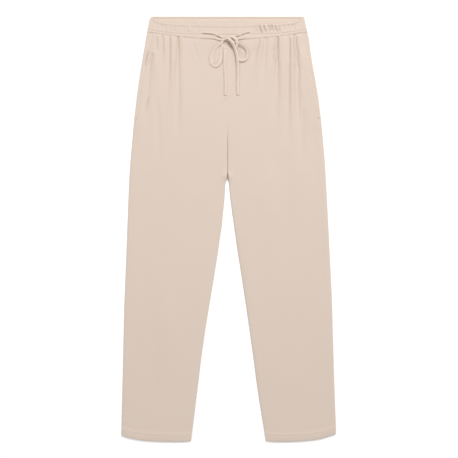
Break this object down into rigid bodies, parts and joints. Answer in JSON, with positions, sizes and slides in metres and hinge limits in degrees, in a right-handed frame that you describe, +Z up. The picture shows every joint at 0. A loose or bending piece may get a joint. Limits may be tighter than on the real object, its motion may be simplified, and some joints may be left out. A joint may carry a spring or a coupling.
{
  "type": "pull-on chinos laid flat",
  "caption": "Pull-on tie-waist chinos laid flat on their back: gathered waistband, drawstring bow, slanted side pockets, straight legs with turned-up hems.",
  "frame": {"origin": "on the surface that the chinos lie on, under the middle of their bounding box without the drawstring", "axes": "+Y from the hems to the waist, +X towards the wearer's left, +Z up, away from the surface"},
  "size_m": [0.5044, 1, 0.0155],
  "materials": {
    "cloth": "matte plain weave, sand beige",
    "waistband_cloth": "matte plain weave, gathered on elastic",
    "tie_tape": "matte self-cloth tape"
  },
  "bodies": {
    "root": {"back_panel_right": "cloth", "pocket_facing_right": "cloth", "front_panel_right": "cloth", "back_panel_left": "cloth", "pocket_facing_left": "cloth", "front_panel_left": "cloth", "waistband_back": "waistband_cloth", "waistband_front": "waistband_cloth", "tie_lead_right": "tie_tape", "tie_lead_left": "tie_tape", "tie_loop_right": "tie_tape", "tie_loop_left": "tie_tape", "tie_tail_right": "tie_tape", "tie_tail_left": "tie_tape", "tie_knot": "tie_tape"}
  },
  "joints": []
}
